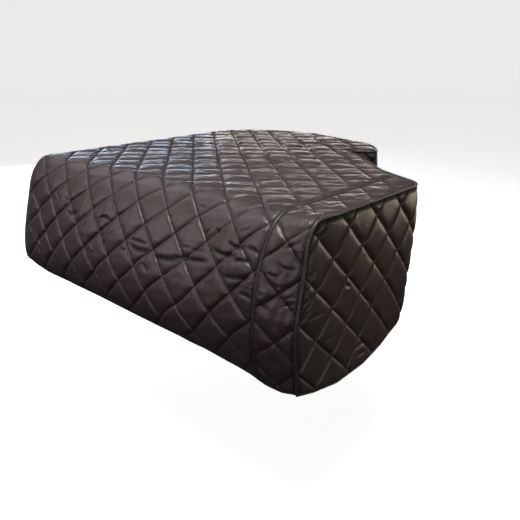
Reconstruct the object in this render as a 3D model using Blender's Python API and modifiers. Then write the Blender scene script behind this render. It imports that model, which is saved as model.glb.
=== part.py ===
"""Fitted quilted cover for a baby grand piano, as it hangs on the closed piano.

A main panel lies on the lid and falls over the keyboard end in one piece. A narrow strip is
sewn to its treble side along a corded seam. Three skirts hang from the piped edge all round,
and a narrow binding finishes the hem. The cover is an open-bottomed hollow shell.

Metres, +Z up. X runs across the keyboard (treble side at +X), +Y runs to the piano's tail. The
origin is on the inside face of the top, half way across, above the middle of the piano.
"""
import math
from collections import namedtuple

import bpy
import numpy as np
from mathutils import Vector, geometry

# Driving dimensions
HALF_WIDTH = 0.755         # middle of the cover to its keyboard-end corners
LID_LINE = -0.680          # y where the flat top turns down over the front of the lid
SKIRT_DROP = 0.500         # usual height of the skirts
EDGE_THICK = 0.003         # quilted cloth where a line of stitching holds it
LOFT_THICK = 0.011         # quilted cloth at the middle of a cell
SEW_GAP = 0.0004           # between pieces that are sewn together
EDGE_FOLD = 0.014          # the strip turns flat this close to its piped edge
PIPING_RADIUS = 0.005      # round the top edge and down the two front corners
SEAM_RADIUS = 0.005        # corded seam between main panel and treble strip
BINDING_RADIUS = 0.0035    # along the hem
SEAM_X = 0.622             # the corded seam's place across the cover
CELL_WIDTH = 0.1565        # quilting diamonds, corner to corner across
CELL_HEIGHT = 0.1465       # quilting diamonds, corner to corner along the drop
SKIRT_RUN_OUT = 0.900      # the skirts' base lines run on to y = -SKIRT_RUN_OUT

Corner = namedtuple("Corner", "x y radius")
PLAN_CORNERS = (
    Corner(HALF_WIDTH, -0.160, 0.078),     # treble shoulder
    Corner(0.544, -0.040, 0.150),          # hollow of the bentside
    Corner(0.188, 0.278, 0.030),           # notch beside the tail
    Corner(0.298, 0.347, 0.026),           # tail's treble corner
    Corner(0.190, 0.512, 0.300),           # tail, treble half
    Corner(-0.345, 0.678, 0.400),          # end of the tail
    Corner(-0.760, 0.512, 0.250),          # tail's bass corner
)

Lean = namedtuple("Lean", "arc bass_deg left_deg right_deg seam_deg treble_deg")
# Lean of the front drape from the vertical, down its length, at five places across it
FRONT_LEAN = (
    Lean(0.000, 92, 73, 77, 98, 94),
    Lean(0.030, 80, 60, 63, 89, 94),
    Lean(0.060, 48, 50, 50, 77, 91),
    Lean(0.085, 42, 44, 42, 65, 76),
    Lean(0.105, 36, 40, 37, 53, 48),
    Lean(0.125, 26, 36, 34, 44, 34),
    Lean(0.150, 21, 33, 31, 36, 24),
    Lean(0.180, 15, 30, 29, 29, 9),
    Lean(0.235, 16, 24, 28, 21, 9),
    Lean(0.350, 14, 16, 20, 8, 13),
    Lean(0.450, 4, -1, 0, -1, -1),
    Lean(0.550, -28, -22, -22, -10, -8),
    Lean(0.640, -36, -43, -43, -20, -4),
)
DRAPE_X = (-HALF_WIDTH, -0.300, 0.300, SEAM_X, HALF_WIDTH)   # where each column above applies

Hem = namedtuple("Hem", "x arc")
FRONT_HEM = (
    Hem(-0.755, 0.500),
    Hem(-0.690, 0.524),
    Hem(-0.600, 0.534),
    Hem(-0.400, 0.518),
    Hem(-0.200, 0.520),
    Hem(0.000, 0.526),
    Hem(0.300, 0.532),
    Hem(0.400, 0.548),
    Hem(0.500, 0.580),
    Hem(0.600, 0.602),
    Hem(0.650, 0.622),
    Hem(0.700, 0.628),
    Hem(0.755, 0.614),
)

Hang = namedtuple("Hang", "run drop flare")
# Height and outward flare of the skirts' hem, by distance along the edge. Run equals y on the
# treble side; the tail and spine sections follow it round.
SKIRT_HANG = (
    Hang(-0.850, 0.506, 0.000),
    Hang(-0.770, 0.526, 0.008),
    Hang(-0.660, 0.543, 0.014),
    Hang(-0.500, 0.545, 0.012),
    Hang(-0.360, 0.537, 0.000),
    Hang(-0.270, 0.533, -0.014),
    Hang(-0.190, 0.523, -0.022),
    Hang(-0.130, 0.508, -0.020),
    Hang(-0.060, 0.498, -0.010),
    Hang(0.150, 0.505, 0.012),
    Hang(0.400, 0.498, 0.004),
    Hang(0.900, 0.506, 0.010),
    Hang(1.300, 0.498, 0.014),
    Hang(1.700, 0.508, 0.012),
    Hang(2.200, 0.500, 0.016),
    Hang(2.700, 0.484, 0.004),
    Hang(3.000, 0.470, 0.000),
    Hang(3.110, 0.440, 0.000),
)
SHOULDER_PUFF = 0.003      # skirts round out just under the piping
SHOULDER_DEPTH = 0.110
SHOULDER_STARTS = 0.160    # the puff fades in between these distances from the base lines' ends
SHOULDER_FULL = 0.460

CLOTH_COLOUR = (0.052, 0.045, 0.046)
TRIM_COLOUR = (0.030, 0.026, 0.027)


# ---------------------------------------------------------------- plan of the top edge
def unit(vector):
    """The vector at length one."""
    return vector / np.linalg.norm(vector)


def rounded_path(start, corners, end):
    """A polyline from start to end whose corners are arcs; also where each arc starts and ends."""
    points = [np.array(start)]
    arcs = []
    stops = [np.array(start)] + [np.array((c.x, c.y)) for c in corners] + [np.array(end)]
    for k, corner in enumerate(corners, start=1):
        back = unit(stops[k - 1] - stops[k])
        ahead = unit(stops[k + 1] - stops[k])
        half_inside = 0.5 * math.acos(np.clip(back @ ahead, -1.0, 1.0))
        turn = math.pi - 2.0 * half_inside
        reach = corner.radius / math.tan(half_inside)
        centre = stops[k] + unit(back + ahead) * corner.radius / math.sin(half_inside)
        first = stops[k] + back * reach - centre
        last = stops[k] + ahead * reach - centre
        steps = max(2, round(math.degrees(turn) / 26.0), round(corner.radius * turn / 0.050))
        arcs.append((len(points), len(points) + steps))
        for step in range(steps + 1):
            share = step / steps
            blend = (math.sin((1.0 - share) * turn) * first + math.sin(share * turn) * last)
            points.append(centre + blend / math.sin(turn))
    points.append(np.array(end))
    return np.array(points), arcs


def edge_normals(path):
    """Outward normals of a path that keeps the cover on its left, one for each point."""
    steps = np.diff(path, axis=0)
    steps /= np.linalg.norm(steps, axis=1)[:, None]
    sides = np.stack([steps[:, 1], -steps[:, 0]], axis=1)
    before = np.vstack([sides[:1], sides])
    after = np.vstack([sides, sides[-1:]])
    middle = before + after
    return middle / (1.0 + np.sum(before * after, axis=1))[:, None]


EDGE_PATH, EDGE_ARCS = rounded_path(
    (HALF_WIDTH, -SKIRT_RUN_OUT), PLAN_CORNERS, (-HALF_WIDTH, -SKIRT_RUN_OUT))
EDGE_NORMALS = edge_normals(EDGE_PATH)
EDGE_RUN = np.concatenate([[0.0], np.cumsum(np.linalg.norm(np.diff(EDGE_PATH, axis=0), axis=1))])
EDGE_RUN -= SKIRT_RUN_OUT
RUN_END = EDGE_RUN[-1]


# ---------------------------------------------------------------- how the cloth hangs
def integrated(leans):
    """Forward reach and depth of a drape whose lean from the vertical is given down its arc."""
    arc = np.linspace(0.0, FRONT_LEAN[-1].arc, 161)
    lean = np.radians(np.interp(arc, [row.arc for row in FRONT_LEAN], leans))
    lean = 0.5 * (lean[1:] + lean[:-1])
    step = arc[1] - arc[0]
    reach = np.concatenate([[0.0], np.cumsum(np.sin(lean)) * step])
    depth = np.concatenate([[0.0], np.cumsum(np.cos(lean)) * step])
    return arc, reach, depth


DRAPES = [integrated([row[1 + k] for row in FRONT_LEAN]) for k in range(len(DRAPE_X))]


def drape(flat):
    """Place flat (x, q): q is y on the top and runs on down the front below the lid line.

    The two nearest hanging lines are eased into each other across x.
    """
    x, q = flat[:, 0], flat[:, 1]
    arc = np.maximum(LID_LINE - q, 0.0)
    reach, depth = np.zeros(len(flat)), np.zeros(len(flat))
    for k, (arcs, reaches, depths) in enumerate(DRAPES):
        share = np.interp(x, DRAPE_X, np.eye(len(DRAPE_X))[k])
        share = share * share * (3.0 - 2.0 * share)
        reach += share * np.interp(arc, arcs, reaches)
        depth += share * np.interp(arc, arcs, depths)
    return np.stack([x, np.maximum(q, LID_LINE) - reach, -depth], axis=1)


def front_hem(x):
    """Length of cloth from the lid line to the front hem."""
    return np.interp(x, [row.x for row in FRONT_HEM], [row.arc for row in FRONT_HEM])


def hem_runs(first, last):
    """Runs at which the skirts' hem has a point, between two ends: at the edge's and between."""
    runs = np.sort(np.concatenate([EDGE_RUN[1:-1], np.arange(-0.80, RUN_END, 0.10)]))
    apart = np.concatenate([[True], np.diff(runs) > 0.008])
    return runs[apart & (runs > first + 0.012) & (runs < last - 0.012)]


def hem_drop(run):
    """Depth of the skirts' hem below the top."""
    return np.interp(run, [row.run for row in SKIRT_HANG], [row.drop for row in SKIRT_HANG])


def hang(flat):
    """Place a skirt's flat (run, z): on the edge's base line, puffed at the shoulder and flared."""
    run, z = flat[:, 0], flat[:, 1]
    down = np.clip(-z / SKIRT_DROP, 0.0, None)
    shoulder = np.clip(-z / SHOULDER_DEPTH, 0.0, 1.0)
    from_end = np.minimum(run + SKIRT_RUN_OUT, RUN_END - run)
    fade = np.clip((from_end - SHOULDER_STARTS) / (SHOULDER_FULL - SHOULDER_STARTS), 0.0, 1.0)
    flare = np.interp(run, [row.run for row in SKIRT_HANG], [row.flare for row in SKIRT_HANG])
    out = SHOULDER_PUFF * np.sin(0.5 * math.pi * shoulder) ** 2 * fade
    out += flare * down ** 2 - 0.5 * EDGE_THICK
    base = [np.interp(run, EDGE_RUN, EDGE_PATH[:, axis]) for axis in (0, 1)]
    side = [np.interp(run, EDGE_RUN, EDGE_NORMALS[:, axis]) for axis in (0, 1)]
    return np.stack([base[0] + side[0] * out, base[1] + side[1] * out, z], axis=1)


# ---------------------------------------------------------------- flat patterns
# Distances down the front at which its side edges have a point, and the least before the hem
SIDE_ARCS = (0.030, 0.060, 0.085, 0.105, 0.125, 0.150, 0.180, 0.235, 0.350, 0.400, 0.450, 0.500)
LAST_STEP = 0.020


def end_profile(side):
    """One front corner's line in (y, z), from the lid line to the hem, with outward normals."""
    hem_arc = float(front_hem(side * HALF_WIDTH))
    arcs = [0.0] + [arc for arc in SIDE_ARCS if arc < hem_arc - LAST_STEP] + [hem_arc]
    points = drape(np.array([(side * HALF_WIDTH, LID_LINE - arc) for arc in arcs]))[:, 1:]
    normals = edge_normals(points)
    return points, normals


def top_outline():
    """Inset outline of the top, from the treble lid corner round the tail to the bass one."""
    inset = EDGE_PATH - EDGE_NORMALS * (PIPING_RADIUS + SEW_GAP)
    inset[0, 1] = LID_LINE
    inset[-1, 1] = LID_LINE
    return inset


def cut_at(outline, x, keep_right):
    """The part of the outline on one side of the line at x, ended exactly on that line."""
    right = outline[:, 0] > x
    k = int(np.argmin(right))
    a, b = outline[k - 1], outline[k]
    crossing = a + (b - a) * (x - a[0]) / (b[0] - a[0])
    if keep_right:
        return np.vstack([outline[:k], crossing])
    return np.vstack([crossing, outline[k:]])


def front_run(x_values):
    """Flat outline down one side, along the front hem and up the other side."""
    left, right = x_values[0], x_values[-1]
    down = [(left, LID_LINE - arc) for arc in SIDE_ARCS if arc < front_hem(left) - LAST_STEP]
    hem = [(x, LID_LINE - front_hem(x)) for x in x_values]
    up = [(right, LID_LINE - arc) for arc in SIDE_ARCS if arc < front_hem(right) - LAST_STEP]
    return np.array(down + hem + up[::-1])


MAIN_HEM_POINTS = 16
FRONT_HEM_X = np.concatenate([np.linspace(-HALF_WIDTH, SEAM_X, MAIN_HEM_POINTS + 1),
                              np.linspace(SEAM_X, HALF_WIDTH, 4)[1:]])


def main_pattern():
    """Main panel: everything on the bass side of the corded seam."""
    seam_side = SEAM_X - SEAM_RADIUS - SEW_GAP
    bass_side = -HALF_WIDTH + PIPING_RADIUS + SEW_GAP
    back = cut_at(top_outline(), seam_side, keep_right=False)
    back[-1, 0] = bass_side
    hem_x = np.concatenate([[bass_side], FRONT_HEM_X[1:MAIN_HEM_POINTS], [seam_side]])
    front = front_run(hem_x)
    return np.vstack([back, front, [(seam_side, LID_LINE)]])


def strip_pattern():
    """Treble strip: from the corded seam to the piped treble edge."""
    seam_side = SEAM_X + SEAM_RADIUS + SEW_GAP
    treble_side = HALF_WIDTH - PIPING_RADIUS - SEW_GAP
    back = cut_at(top_outline(), seam_side, keep_right=True)
    back[0, 0] = treble_side
    hem_x = np.concatenate([[seam_side], FRONT_HEM_X[MAIN_HEM_POINTS + 1:-1], [treble_side]])
    front = front_run(hem_x)
    return np.vstack([back, [(seam_side, LID_LINE)], front])


def skirt_pattern(start, end):
    """Skirt between two runs; an end at None follows the front corner's line."""
    clear = PIPING_RADIUS + 2.0 * SEW_GAP - 0.5 * EDGE_THICK
    first = LID_LINE if start is None else start
    last = RUN_END - SKIRT_RUN_OUT - LID_LINE if end is None else end
    top = [(run, -clear) for run in EDGE_RUN[1:-1] if first + 0.01 < run < last - 0.01]
    if start is not None:
        top.insert(0, (start, -clear))
    if end is not None:
        top.append((end, -clear))
    lead, trail = [], []
    if start is None:
        points, normals = end_profile(1.0)
        lead = [tuple(row) for row in (points - normals * clear)[::-1]]
        first = lead[0][0]
    if end is None:
        points, normals = end_profile(-1.0)
        inside = points - normals * clear
        inside[:, 0] = RUN_END - SKIRT_RUN_OUT - inside[:, 0]
        trail = [tuple(row) for row in inside]
        last = trail[-1][0]
    hem = [(run, -hem_drop(run)) for run in hem_runs(first, last)[::-1]]
    if end is not None:
        hem.insert(0, (end, -hem_drop(end)))
    if start is not None:
        hem.append((start, -hem_drop(start)))
    return np.array((lead + top + trail + hem)[::-1])


# ---------------------------------------------------------------- quilted cloth
Quilt = namedtuple("Quilt", "width height x y")     # cell diagonals, and a corner's place


def quilt_lines(outline, quilt):
    """Both families of stitching lines as segments that cross the outline's box."""
    low, high = outline.min(axis=0) - 0.05, outline.max(axis=0) + 0.05
    segments = []
    slope = quilt.width / quilt.height
    for side in (-1.0, 1.0):
        offsets = [(x - quilt.x + side * slope * (y - quilt.y)) / quilt.width
                   for x in (low[0], high[0]) for y in (low[1], high[1])]
        for count in range(math.floor(min(offsets)), math.ceil(max(offsets)) + 1):
            ends = [(quilt.x + quilt.width * count - side * slope * (y - quilt.y), y)
                    for y in (low[1], high[1])]
            segments.append(ends)
    return segments


def cell_centres(outline, quilt, margin):
    """Centres of the quilting diamonds that lie inside the outline, clear of its edge."""
    low, high = outline.min(axis=0), outline.max(axis=0)
    centres = []
    columns = range(math.floor((low[0] - quilt.x) / quilt.width * 2),
                    math.ceil((high[0] - quilt.x) / quilt.width * 2) + 1)
    rows = range(math.floor((low[1] - quilt.y) / quilt.height * 2),
                 math.ceil((high[1] - quilt.y) / quilt.height * 2) + 1)
    for column in columns:
        for row in rows:
            if (column + row) % 2:
                centres.append((quilt.x + 0.5 * quilt.width * column,
                                quilt.y + 0.5 * quilt.height * row))
    centres = np.array(centres)
    return centres[edge_distance(centres, outline) > margin]


def edge_distance(points, outline):
    """Distance from each point to the closed outline, negative outside it."""
    a = outline
    b = np.roll(outline, -1, axis=0)
    ab = b - a
    ap = points[:, None, :] - a[None, :, :]
    along = np.clip(np.sum(ap * ab, axis=2) / np.sum(ab * ab, axis=1), 0.0, 1.0)
    gap = np.linalg.norm(ap - along[:, :, None] * ab, axis=2).min(axis=1)
    y = points[:, 1][:, None]
    straddles = (a[:, 1] > y) != (b[:, 1] > y)
    rise = np.where(ab[:, 1] == 0.0, 1.0, ab[:, 1])
    crossing = a[:, 0] + (y - a[:, 1]) * ab[:, 0] / rise
    inside = np.sum(straddles & (points[:, 0][:, None] < crossing), axis=1) % 2 == 1
    return np.where(inside, gap, -gap)


def cut_and_quilt(outline, quilt, creases):
    """Triangles of the flat pattern that follow its stitching lines, with each vertex's loft."""
    verts = [Vector(point) for point in outline]
    face = [list(range(len(verts)))]
    edges = []
    lines = quilt_lines(outline, quilt)
    low, high = outline.min(axis=0)[1] - 0.05, outline.max(axis=0)[1] + 0.05
    lines += [[(crease, low), (crease, high)] for crease in creases]
    for ends in lines:
        edges.append((len(verts), len(verts) + 1))
        verts += [Vector(end) for end in ends]
    centres = cell_centres(outline, quilt, 0.018)
    verts += [Vector(point) for point in centres]
    flat, _, triangles, _, _, origin = geometry.delaunay_2d_cdt(verts, edges, face, 0, 0.0015)
    kept = [tri for tri, source in zip(triangles, origin) if source]
    used = sorted({index for tri in kept for index in tri})
    renumber = {old: new for new, old in enumerate(used)}
    flat = np.array([flat[index][:] for index in used])
    kept = [[renumber[index] for index in tri] for tri in kept]
    slope = quilt.width / quilt.height
    one = (flat[:, 0] - quilt.x - slope * (flat[:, 1] - quilt.y)) / quilt.width
    two = (flat[:, 0] - quilt.x + slope * (flat[:, 1] - quilt.y)) / quilt.width
    loft = np.abs(np.sin(math.pi * one) * np.sin(math.pi * two)) ** 0.6
    loft *= np.clip(edge_distance(flat, outline) / 0.030, 0.0, 1.0)
    return flat, kept, loft


def quilted_panel(name, outline, quilt, place, material, creases=()):
    """A quilted cloth panel: cut flat, set in place, and thickened outward by its filling."""
    flat, triangles, loft = cut_and_quilt(outline, quilt, creases)
    mesh = bpy.data.meshes.new(name)
    mesh.from_pydata([tuple(point) for point in place(flat)], [], triangles)
    panel = add_object(name, mesh, material)
    group = panel.vertex_groups.new(name="loft")
    for index, amount in enumerate(loft):
        group.add([index], float(amount), "REPLACE")
    solidify = panel.modifiers.new("quilted thickness", "SOLIDIFY")
    solidify.thickness = LOFT_THICK
    solidify.offset = 1.0
    solidify.vertex_group = group.name
    solidify.thickness_vertex_group = EDGE_THICK / LOFT_THICK
    return panel


# ---------------------------------------------------------------- cords and trims
def cord(name, points, radius, material, closed=False):
    """A round cord along the points, with filled ends unless it is closed."""
    curve = bpy.data.curves.new(name, "CURVE")
    curve.dimensions = "3D"
    curve.bevel_depth = radius
    curve.bevel_resolution = 2
    curve.use_fill_caps = not closed
    curve.twist_mode = "MINIMUM"
    spline = curve.splines.new("POLY")
    spline.points.add(len(points) - 1)
    spline.use_cyclic_u = closed
    for slot, point in zip(spline.points, points):
        slot.co = (point[0], point[1], point[2], 1.0)
    return add_object(name, curve, material)


def corner_line(side):
    """Piping centre line down one front corner, from the lid line to the hem."""
    points, normals = end_profile(side)
    centre = points + normals * 0.5 * EDGE_THICK
    return np.column_stack([np.full(len(centre), side * HALF_WIDTH), centre])


def edge_piping(material):
    """Piping from the treble front hem up the corner, round the whole top and down again."""
    height = np.full(len(EDGE_PATH) - 2, 0.5 * EDGE_THICK)
    round_top = np.column_stack([EDGE_PATH[1:-1], height])
    points = np.vstack([corner_line(1.0)[::-1], round_top, corner_line(-1.0)])
    return cord("edge_piping", points, PIPING_RADIUS, material)


def seam_cord(material):
    """Cord sewn into the seam between the main panel and the treble strip."""
    back = cut_at(top_outline(), SEAM_X, keep_right=False)[0, 1] - 2.0 * SEAM_RADIUS
    arcs = [*SIDE_ARCS, 0.550, float(front_hem(SEAM_X))]
    flat = np.array([(SEAM_X, back), (SEAM_X, LID_LINE)] + [(SEAM_X, LID_LINE - a) for a in arcs])
    inner = drape(flat)
    normals = edge_normals(inner[:, 1:])
    inner[:, 1:] += normals * 0.5 * EDGE_THICK
    return cord("seam_cord", inner, SEAM_RADIUS, material)


def past_the_edge(edge, inside, normals):
    """Binding centre: beyond the cloth's edge, in line with the cloth and at half its thickness."""
    along = (edge - inside) / np.linalg.norm(edge - inside, axis=1)[:, None]
    return edge + along * (BINDING_RADIUS + 3.0 * SEW_GAP) + normals * 0.5 * EDGE_THICK


def front_binding():
    """Binding points under the front hem, from the bass corner to the treble one."""
    x = FRONT_HEM_X
    edge = drape(np.column_stack([x, LID_LINE - front_hem(x)]))
    inside = drape(np.column_stack([x, LID_LINE - front_hem(x) + 0.010]))
    fall = edge - inside
    normals = np.column_stack([np.zeros(len(x)), fall[:, 2], -fall[:, 1]])
    normals /= np.linalg.norm(normals, axis=1)[:, None]
    return past_the_edge(edge, inside, normals)


def corner_binding(side):
    """Binding point just under the piping's end at one front corner."""
    line = corner_line(side)
    return past_the_edge(line[-1:], line[-2:-1], np.zeros((1, 3)))


def skirt_binding():
    """Binding points under the skirts' hems, round from the treble corner to the bass one."""
    first = LID_LINE - 0.170
    runs = hem_runs(first, RUN_END - SKIRT_RUN_OUT - first)
    edge = hang(np.column_stack([runs, -hem_drop(runs)]))
    inside = hang(np.column_stack([runs, 0.010 - hem_drop(runs)]))
    side = [np.interp(runs, EDGE_RUN, EDGE_NORMALS[:, axis]) for axis in (0, 1)]
    return past_the_edge(edge, inside, np.column_stack([*side, np.zeros(len(runs))]))


def hem_binding(material):
    """Narrow binding all round the hem, just past the edge of the cloth."""
    front = front_binding()
    skirt = skirt_binding()
    ring = [front[1:-1], corner_binding(1.0), skirt, corner_binding(-1.0)]
    return cord("hem_binding", np.vstack(ring), BINDING_RADIUS, material, closed=True)


# ---------------------------------------------------------------- scene
def add_object(name, data, material):
    """Link an object for the data into the cover's collection."""
    data.materials.append(material)
    made = bpy.data.objects.new(name, data)
    COVER.objects.link(made)
    return made


def cloth_material(name, colour, roughness):
    """Plain Principled cloth."""
    material = bpy.data.materials.new(name)
    material.use_nodes = True
    shader = material.node_tree.nodes["Principled BSDF"]
    shader.inputs["Base Color"].default_value = (*colour, 1.0)
    shader.inputs["Roughness"].default_value = roughness
    shader.inputs["Metallic"].default_value = 0.0
    return material


for old in list(bpy.data.objects):
    bpy.data.objects.remove(old, do_unlink=True)
COVER = bpy.data.collections.new("grand_piano_cover")
bpy.context.scene.collection.children.link(COVER)

nylon = cloth_material("quilted_nylon", CLOTH_COLOUR, 0.45)
trim = cloth_material("trim_tape", TRIM_COLOUR, 0.60)

TOP_QUILT = Quilt(CELL_WIDTH, CELL_HEIGHT, -0.021, LID_LINE - 0.121)
STRIP_QUILT = Quilt(CELL_WIDTH, CELL_HEIGHT, 0.690, LID_LINE - 0.165)
SKIRT_QUILT = Quilt(CELL_WIDTH, CELL_WIDTH, -0.692, -0.125)

SKIRT_SEAM_BENTSIDE = float(EDGE_RUN[EDGE_ARCS[0][1]]) + 0.040
SKIRT_SEAM_SPINE = float(EDGE_RUN[EDGE_ARCS[-1][1]]) + 0.060
FOLD_RUNS = [float(EDGE_RUN[k]) for corner, (first, last) in zip(PLAN_CORNERS, EDGE_ARCS)
             for k in range(first, last + 1) if corner.radius < 0.10]

quilted_panel("main_panel", main_pattern(), TOP_QUILT, drape, nylon)
quilted_panel("treble_strip", strip_pattern(), STRIP_QUILT, drape, nylon,
              [HALF_WIDTH - EDGE_FOLD])
for skirt_name, start, end in (
        ("treble_skirt", None, SKIRT_SEAM_BENTSIDE - 0.5 * SEW_GAP),
        ("tail_skirt", SKIRT_SEAM_BENTSIDE + 0.5 * SEW_GAP, SKIRT_SEAM_SPINE - 0.5 * SEW_GAP),
        ("spine_skirt", SKIRT_SEAM_SPINE + 0.5 * SEW_GAP, None)):
    pattern = skirt_pattern(start, end)
    low, high = pattern[:, 0].min() + 0.01, pattern[:, 0].max() - 0.01
    folds = [run for run in FOLD_RUNS if low < run < high]
    quilted_panel(skirt_name, pattern, SKIRT_QUILT, hang, nylon, folds)
edge_piping(trim)
seam_cord(trim)
hem_binding(trim)
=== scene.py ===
"""Fitted quilted nylon cover for a baby grand piano, hanging as it does on the closed piano.

Sections follow the cover as it is sewn together: the big main panel over the lid and down the
keyboard end, the strip beside it, the three skirts round the sides, then the piping, the corded
seam and the hem binding. Metres, +Z up, +X to the treble side, +Y to the piano's tail.
"""
import math
from collections import namedtuple

import bpy
import numpy as np
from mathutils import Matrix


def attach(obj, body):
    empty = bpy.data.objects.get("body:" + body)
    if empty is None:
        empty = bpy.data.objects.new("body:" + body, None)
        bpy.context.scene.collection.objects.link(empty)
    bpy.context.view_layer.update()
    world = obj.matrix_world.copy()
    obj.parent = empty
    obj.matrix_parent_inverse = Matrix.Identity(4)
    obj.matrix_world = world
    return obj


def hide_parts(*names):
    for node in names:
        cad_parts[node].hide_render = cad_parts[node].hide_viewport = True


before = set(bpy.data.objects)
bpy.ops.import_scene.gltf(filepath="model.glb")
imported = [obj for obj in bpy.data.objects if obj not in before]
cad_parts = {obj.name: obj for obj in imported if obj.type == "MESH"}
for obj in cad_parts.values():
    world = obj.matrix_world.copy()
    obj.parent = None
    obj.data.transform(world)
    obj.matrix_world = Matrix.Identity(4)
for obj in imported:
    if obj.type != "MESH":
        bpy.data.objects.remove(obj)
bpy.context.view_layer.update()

# ---------------------------------------------------------------- viewpoint, floor and light
# A person's eye height beside the treble corner of the keyboard end. The cover hangs at the
# height a piano's lid would hold it, one metre over a plain pale floor in a plain pale room.
EYE = (1.584, -1.970, 0.425)
EYE_TURN = (math.radians(69.79), 0.0, math.radians(40.79))
LENS_MM = 38.74
FLOOR_Z = -1.0
ROOM_RADIUS = 24.0
PALE = (0.96, 0.96, 0.95)
ROOM_GLOW = 0.84

camera_data = bpy.data.cameras.new("eye")
camera_data.lens = LENS_MM
camera_data.sensor_width = 36.0
camera = bpy.data.objects.new("eye", camera_data)
camera.location = EYE
camera.rotation_euler = EYE_TURN
bpy.context.scene.collection.objects.link(camera)
bpy.context.scene.camera = camera
bpy.context.scene.view_settings.view_transform = "Standard"


def smooth_mesh(name, points, faces):
    """A smooth-shaded mesh of rows of points and lists of their numbers."""
    mesh = bpy.data.meshes.new(name)
    mesh.from_pydata(points.tolist(), [], faces)
    mesh.polygons.foreach_set("use_smooth", np.ones(len(mesh.polygons), bool))
    mesh.update()
    return mesh


def ring_faces(rings, sides, closed=False):
    """Quads between rings of points, one ring after the other, each joined to the next."""
    row = np.arange(rings if closed else rings - 1)[:, None]
    column = np.arange(sides)[None, :]
    after, beside = (row + 1) % rings, (column + 1) % sides
    return np.stack([row * sides + column, row * sides + beside,
                     after * sides + beside, after * sides + column], axis=2).reshape(-1, 4)


def sky_dome(rings, sides):
    """A closed pale room: a flat floor at FLOOR_Z whose rim curves up into a dome.

    The radius grows with the ring over the floor, then the profile follows a quarter circle up
    to the crown.
    """
    turn = np.linspace(0.0, 2.0 * math.pi, sides, endpoint=False)
    floor = np.linspace(0.0, 1.0, rings)[1:] * ROOM_RADIUS
    rise = np.linspace(0.0, 0.5 * math.pi, rings)[1:-1]
    radius = np.concatenate([floor, ROOM_RADIUS * np.cos(rise)])
    height = np.concatenate([np.zeros(len(floor)), ROOM_RADIUS * np.sin(rise)])
    ring = np.stack([np.outer(radius, np.cos(turn)), np.outer(radius, np.sin(turn)),
                     np.repeat(height[:, None], sides, axis=1)], axis=2).reshape(-1, 3)
    ends = np.array([(0.0, 0.0, 0.0), (0.0, 0.0, ROOM_RADIUS)])
    points = np.vstack([ring, ends]) + np.array((0.0, 0.0, FLOOR_Z))
    first = np.arange(sides)
    after = (first + 1) % sides
    last_ring = len(ring) - sides
    low = np.stack([np.full(sides, len(ring)), first, after], axis=1)
    high = np.stack([np.full(sides, len(ring) + 1), last_ring + after, last_ring + first], axis=1)
    quads = ring_faces(len(radius), sides)[:, ::-1]
    return smooth_mesh("pale_room", points, quads.tolist() + low.tolist() + high.tolist())


class Signal:
    """One number, or one colour, at every point; an operator adds the Math node it needs."""

    def __init__(self, recipe, socket):
        self.recipe, self.socket = recipe, socket

    def math(self, operation, *others):
        """This and the others through one Math node."""
        return self.recipe.node("ShaderNodeMath", {"operation": operation},
                                dict(enumerate((self, *others))))

    def __add__(self, other):
        return self.math("ADD", other)

    def __sub__(self, other):
        return self.math("SUBTRACT", other)

    def __rsub__(self, other):
        return self * -1.0 + other

    def __mul__(self, other):
        return self.math("MULTIPLY", other)

    def __abs__(self):
        return self.math("ABSOLUTE")

    __radd__, __rmul__ = __add__, __mul__

    def clipped(self, low, high):
        """Held between two numbers."""
        return self.math("MAXIMUM", low).math("MINIMUM", high)

    def fading(self, rate):
        """exp(-rate * self): one at nought, and less the further from it."""
        return (self * -rate).math("EXPONENT")


class Recipe:
    """The nodes of one material, or of the light in the room, up to its last shader."""

    def __init__(self, owner, shader_name):
        owner.use_nodes = True
        self.owner, self.tree = owner, owner.node_tree
        self.shader = self.tree.nodes[shader_name]

    def node(self, kind, settings, sockets, out=0):
        """Add a node, make its settings, then fill its sockets with values or signals."""
        made = self.tree.nodes.new(kind)
        for key, value in settings.items():
            if key == "stops":
                for mark, (place, colour) in zip(made.color_ramp.elements, value):
                    mark.position, mark.color = place, (*colour, 1.0)
            else:
                setattr(made, key, value)
        self.fill(made, sockets)
        return Signal(self, made.outputs[out])

    def fill(self, made, sockets):
        """Link or set sockets of a node that is there already."""
        for key, value in sockets.items():
            if isinstance(value, Signal):
                self.tree.links.new(value.socket, made.inputs[key])
            else:
                made.inputs[key].default_value = value

    def part(self, vector, axis):
        """One of a vector's three numbers."""
        return self.node("ShaderNodeSeparateXYZ", {}, {0: vector}, out=axis)


room_paint = Recipe(bpy.data.materials.new("pale_room"), "Principled BSDF")
room_paint.fill(room_paint.shader, {"Base Color": (*PALE, 1.0), "Roughness": 0.9,
                                    "Emission Color": (*PALE, 1.0),
                                    "Emission Strength": ROOM_GLOW})
room = bpy.data.objects.new("pale_room", sky_dome(14, 48))
room.data.materials.append(room_paint.owner)
bpy.context.scene.collection.objects.link(room)
room.visible_diffuse = False
room.visible_glossy = False
room.visible_shadow = False

# A faint even light from all round, warmer where it comes up from the floor
AROUND = (0.010, 0.009, 0.009)
UNDERFOOT = (0.012, 0.006, 0.004)
bpy.context.scene.world = bpy.data.worlds.new("room_light")
air = Recipe(bpy.context.scene.world, "Background")
upward = air.part(air.node("ShaderNodeTexCoord", {}, {}, out="Generated"), "Z")
fill_light = air.node("ShaderNodeValToRGB", {"stops": ((0.42, UNDERFOOT), (0.60, AROUND))},
                      {0: upward * 0.5 + 0.5})
air.fill(air.shader, {"Color": fill_light})

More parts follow.
